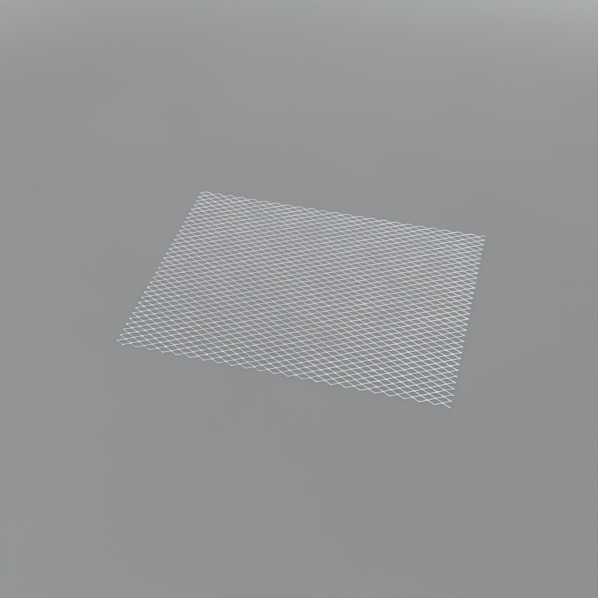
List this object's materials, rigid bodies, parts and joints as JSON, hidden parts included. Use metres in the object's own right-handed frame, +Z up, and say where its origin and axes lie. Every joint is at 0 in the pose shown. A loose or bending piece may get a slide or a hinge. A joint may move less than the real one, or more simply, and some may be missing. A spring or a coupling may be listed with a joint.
{
  "type": "expanded metal sheet",
  "caption": "Rectangular sheet of raised expanded aluminium with small diamond meshes, zigzag strands joined at narrow bonds, scalloped long edges and sheared ends.",
  "frame": {"origin": "centre of the sheet at the level of its lowest strand edges", "axes": "+X along the long way of the mesh, +Y along the short way towards the back edge, +Z up"},
  "size_m": [0.3, 0.2372, 0.0012],
  "materials": {
    "aluminium": "mill finish, bright and slightly satin"
  },
  "bodies": {
    "root": {"mesh_band_1": "aluminium", "mesh_band_2": "aluminium", "mesh_band_3": "aluminium", "mesh_band_4": "aluminium"}
  },
  "joints": []
}
